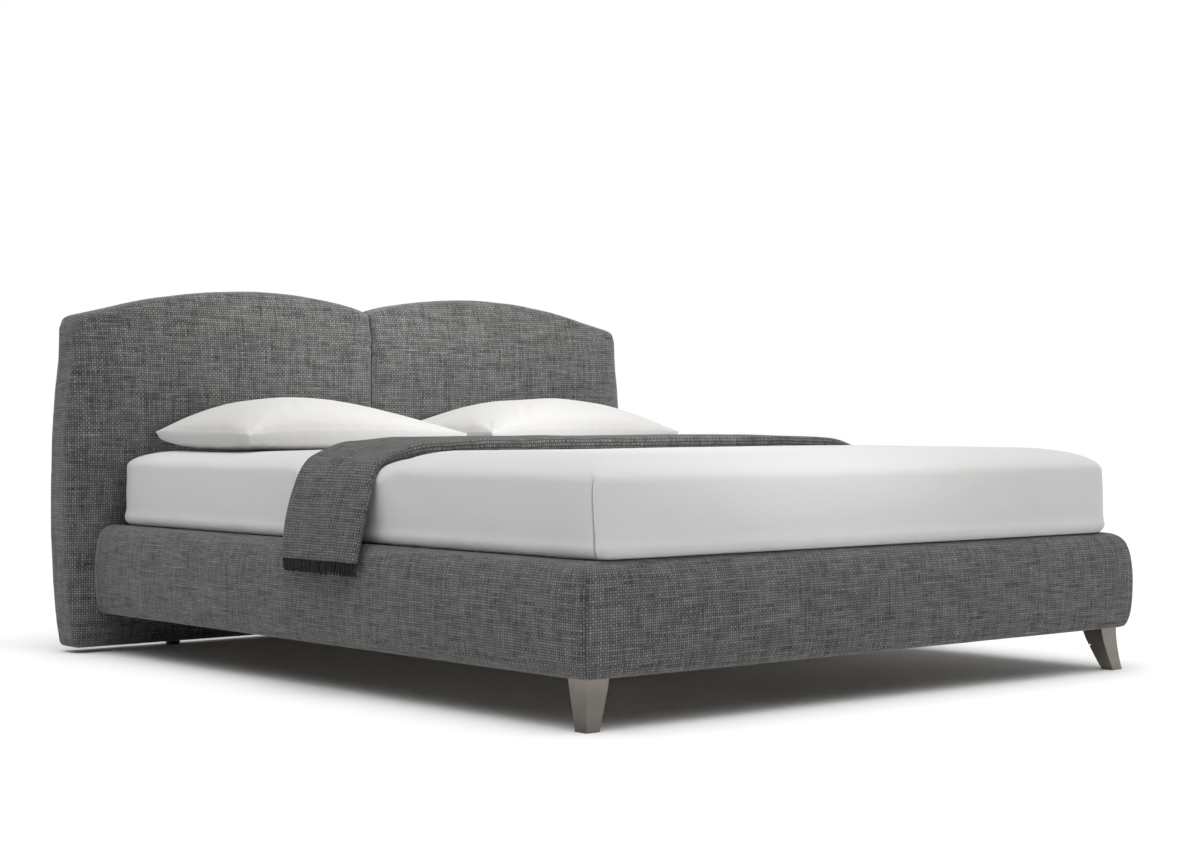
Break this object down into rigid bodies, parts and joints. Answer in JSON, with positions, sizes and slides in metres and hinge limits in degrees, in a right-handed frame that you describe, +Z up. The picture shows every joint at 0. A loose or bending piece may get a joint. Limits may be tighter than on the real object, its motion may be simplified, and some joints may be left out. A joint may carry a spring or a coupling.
{
  "type": "upholstered headboard bed",
  "caption": "Double bed with a split padded headboard, padded rails, flared metal legs, slatted base, mattress, pillows and a folded throw.",
  "frame": {"origin": "bottom centre of the whole bed, on the floor midway between the foot and the back of the headboard", "axes": "+X across the bed to the right seen from the foot, +Y from the foot to the headboard, +Z up"},
  "size_m": [2.0008, 2.1822, 1.0051],
  "materials": {
    "bed_fabric": "matte",
    "dust_cover": "matte",
    "plywood": "matte",
    "pine": "matte",
    "frame_board": "matte",
    "hardwood": "matte",
    "black_steel": "satin",
    "zinc_steel": "satin",
    "leg_metal": "satin",
    "glide_plastic": "matte",
    "slat_birch": "satin",
    "cap_plastic": "matte",
    "mattress_ticking": "matte",
    "sheet_cotton": "matte",
    "pillow_cotton": "matte",
    "throw_wool": "matte"
  },
  "bodies": {
    "root": {"left_headboard_upholstery": "bed_fabric", "left_headboard_board": "plywood", "left_headboard_battens": "pine", "left_headboard_back_cover": "dust_cover", "left_side_rail_core": "frame_board", "left_side_rail_upholstery": "bed_fabric", "front_left_leg": "leg_metal", "left_ledger": "black_steel", "right_headboard_upholstery": "bed_fabric", "right_headboard_board": "plywood", "right_headboard_battens": "pine", "right_headboard_back_cover": "dust_cover", "right_side_rail_core": "frame_board", "right_side_rail_upholstery": "bed_fabric", "front_right_leg": "leg_metal", "right_ledger": "black_steel", "headboard_joining_bars": "black_steel", "joining_bar_bolts": "zinc_steel", "headboard_mount_blocks": "hardwood", "headboard_bolts": "zinc_steel", "bolt_inserts": "zinc_steel", "glide_inserts": "zinc_steel", "foot_rail_core": "frame_board", "head_rail_core": "frame_board", "foot_rail_upholstery": "bed_fabric", "corner_brackets": "black_steel", "corner_bracket_screws": "zinc_steel", "corner_blocks": "hardwood", "leg_bolts": "zinc_steel", "ledger_screws": "zinc_steel", "centre_beam": "black_steel", "centre_beam_brackets": "black_steel", "centre_beam_screws": "zinc_steel", "front_centre_leg": "black_steel", "rear_centre_leg": "black_steel"},
    "slat_base": {"left_slat_frame_rail": "pine", "right_slat_frame_rail": "pine", "foot_slat_frame_rail": "pine", "head_slat_frame_rail": "pine", "centre_slat_frame_rail": "pine", "slat_frame_screws": "zinc_steel", "left_slats": "slat_birch", "right_slats": "slat_birch", "outer_slat_caps": "cap_plastic", "centre_slat_caps": "cap_plastic"},
    "mattress": {"mattress": "mattress_ticking", "fitted_sheet": "sheet_cotton"},
    "left_pillow": {"left_pillow": "pillow_cotton"},
    "right_pillow": {"right_pillow": "pillow_cotton"},
    "throw": {"throw": "throw_wool", "left_throw_fringe": "throw_wool", "right_throw_fringe": "throw_wool"},
    "left_outer_glide": {"left_outer_glide": "glide_plastic"},
    "left_inner_glide": {"left_inner_glide": "glide_plastic"},
    "right_inner_glide": {"right_inner_glide": "glide_plastic"},
    "right_outer_glide": {"right_outer_glide": "glide_plastic"},
    "front_centre_glide": {"front_centre_glide": "glide_plastic"},
    "rear_centre_glide": {"rear_centre_glide": "glide_plastic"}
  },
  "joints": [
    {"name": "slat_base_lift", "type": "slide", "parent": "root", "child": "slat_base", "axis": [0, 0, 1], "range_m": [0, 0.3]},
    {"name": "mattress_lift", "type": "slide", "parent": "slat_base", "child": "mattress", "axis": [0, 0, 1], "range_m": [0, 0.35]},
    {"name": "left_pillow_lift", "type": "slide", "parent": "mattress", "child": "left_pillow", "axis": [0, 0, 1], "range_m": [0, 0.3]},
    {"name": "right_pillow_lift", "type": "slide", "parent": "mattress", "child": "right_pillow", "axis": [0, 0, 1], "range_m": [0, 0.3]},
    {"name": "throw_lift", "type": "slide", "parent": "mattress", "child": "throw", "axis": [0, 0, 1], "range_m": [0, 0.35]},
    {"name": "left_outer_glide_screw", "type": "slide", "parent": "root", "child": "left_outer_glide", "axis": [0, 0, -1], "range_m": [0, 0.01]},
    {"name": "left_inner_glide_screw", "type": "slide", "parent": "root", "child": "left_inner_glide", "axis": [0, 0, -1], "range_m": [0, 0.01]},
    {"name": "right_inner_glide_screw", "type": "slide", "parent": "root", "child": "right_inner_glide", "axis": [0, 0, -1], "range_m": [0, 0.01]},
    {"name": "right_outer_glide_screw", "type": "slide", "parent": "root", "child": "right_outer_glide", "axis": [0, 0, -1], "range_m": [0, 0.01]},
    {"name": "front_centre_glide_screw", "type": "slide", "parent": "root", "child": "front_centre_glide", "axis": [0, 0, -1], "range_m": [0, 0.01]},
    {"name": "rear_centre_glide_screw", "type": "slide", "parent": "root", "child": "rear_centre_glide", "axis": [0, 0, -1], "range_m": [0, 0.01]}
  ]
}
